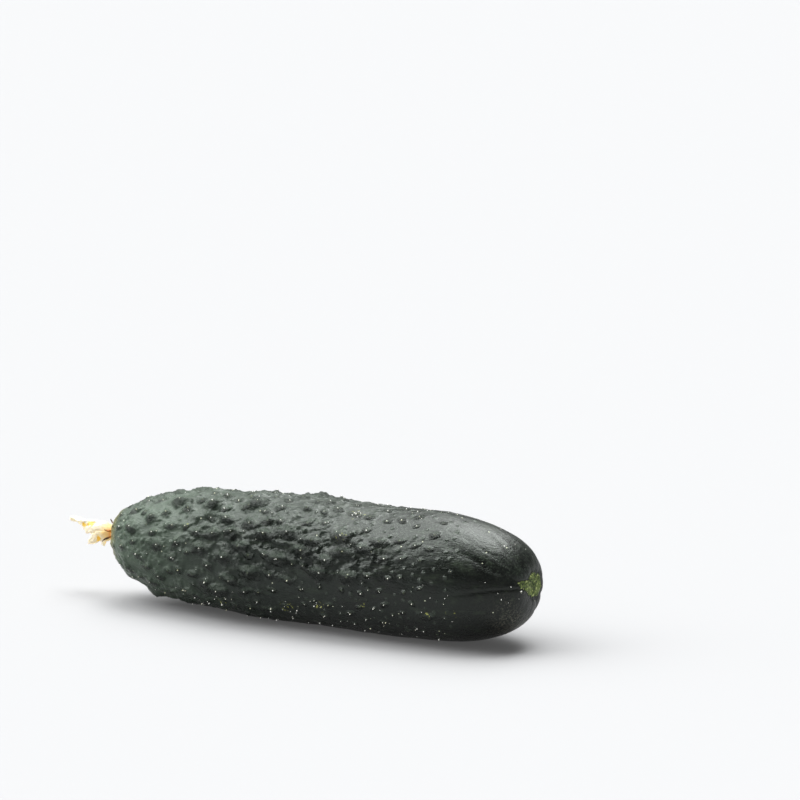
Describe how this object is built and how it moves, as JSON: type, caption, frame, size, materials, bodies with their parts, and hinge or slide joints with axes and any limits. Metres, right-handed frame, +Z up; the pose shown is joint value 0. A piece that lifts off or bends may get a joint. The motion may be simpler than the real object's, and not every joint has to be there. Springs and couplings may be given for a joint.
{
  "type": "cucumber",
  "caption": "Short, dark green, warty cucumber lying on its side, with its withered flower on one end and the stalk scar on the other.",
  "frame": {"origin": "on the resting surface, under the middle of the bounding box of fruit and flower", "axes": "+X along the fruit, towards the stalk end; +Z up, away from the resting surface; +Y across the fruit"},
  "size_m": [0.1988, 0.0478, 0.0467],
  "materials": {
    "skin": "satin, waxy",
    "dried_calyx": "matte, papery",
    "petal": "matte, papery",
    "stigma": "matte"
  },
  "bodies": {
    "root": {"fruit": "skin", "calyx": "dried_calyx", "withered_petals": "petal", "stigma": "stigma"}
  },
  "joints": []
}
